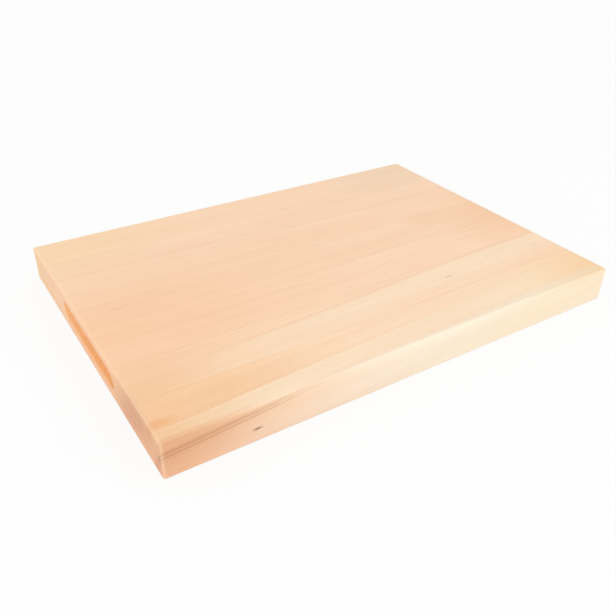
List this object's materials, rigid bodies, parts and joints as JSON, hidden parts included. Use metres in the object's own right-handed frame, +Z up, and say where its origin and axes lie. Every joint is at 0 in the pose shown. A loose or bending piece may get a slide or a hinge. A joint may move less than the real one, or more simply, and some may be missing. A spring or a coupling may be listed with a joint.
{
  "type": "butcher block cutting board",
  "caption": "Thick rectangular wooden chopping board of edge-glued maple staves, with rounded edges and a routed finger groove in each end for lifting.",
  "frame": {"origin": "middle of the underside, on the surface that the board lies on", "axes": "+X along the staves and the long edges, +Y across the staves from the front edge to the back edge, +Z up"},
  "size_m": [0.508, 0.3568, 0.0381],
  "materials": {
    "stave_1": "hard maple, sanded and oiled",
    "stave_2": "hard maple, sanded and oiled",
    "stave_3": "hard maple, sanded and oiled",
    "stave_4": "hard maple, sanded and oiled",
    "stave_5": "hard maple, sanded and oiled",
    "stave_6": "hard maple, sanded and oiled",
    "stave_7": "hard maple, sanded and oiled",
    "glue": "cured wood glue, pressed to a hairline and scraped flush"
  },
  "bodies": {
    "root": {"stave_1": "stave_1", "stave_2": "stave_2", "stave_3": "stave_3", "stave_4": "stave_4", "stave_5": "stave_5", "stave_6": "stave_6", "stave_7": "stave_7", "glue_line_1": "glue", "glue_line_2": "glue", "glue_line_3": "glue", "glue_line_4": "glue", "glue_line_5": "glue", "glue_line_6": "glue"}
  },
  "joints": []
}
